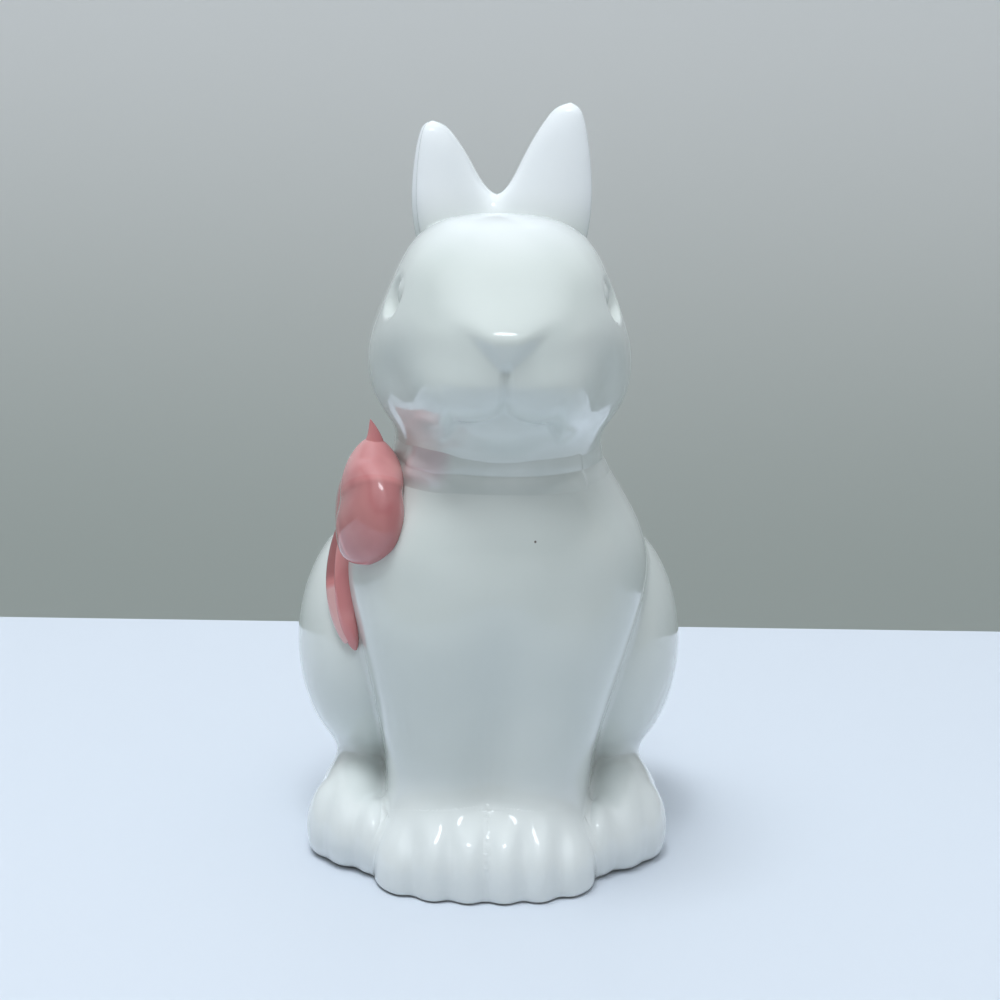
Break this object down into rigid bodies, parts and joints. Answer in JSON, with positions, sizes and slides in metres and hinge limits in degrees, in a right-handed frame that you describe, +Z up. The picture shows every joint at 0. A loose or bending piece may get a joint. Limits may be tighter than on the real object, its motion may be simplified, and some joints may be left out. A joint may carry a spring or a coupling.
{
  "type": "ceramic rabbit figurine",
  "caption": "Sitting rabbit ornament in glossy white ceramic, upright ears, ribbon round the neck and a pink bow at the side; stands on its flat base.",
  "frame": {"origin": "middle of the flat face that the figure rests on, under the neck's axis", "axes": "+Z up along the height, the rabbit looks along -Y, +X is the rabbit's left"},
  "size_m": [0.0918, 0.106, 0.1724],
  "materials": {
    "white_glaze": "gloss white glaze over a pale cast body",
    "ribbon_glaze": "gloss white glaze with a faint pink tint beside the bow",
    "pink_glaze": "gloss pink glaze, thin and paler along the edges"
  },
  "bodies": {
    "root": {"body_shell": "white_glaze", "head_shell": "white_glaze", "left_ear": "white_glaze", "right_ear": "white_glaze", "left_haunch": "white_glaze", "right_haunch": "white_glaze", "left_forepaw": "white_glaze", "right_forepaw": "white_glaze", "left_hind_foot": "white_glaze", "right_hind_foot": "white_glaze", "tail": "white_glaze", "ribbon": "ribbon_glaze", "bow_knot": "pink_glaze", "bow_front_loop": "pink_glaze", "bow_rear_loop": "pink_glaze", "bow_front_tail": "pink_glaze", "bow_rear_tail": "pink_glaze"}
  },
  "joints": []
}
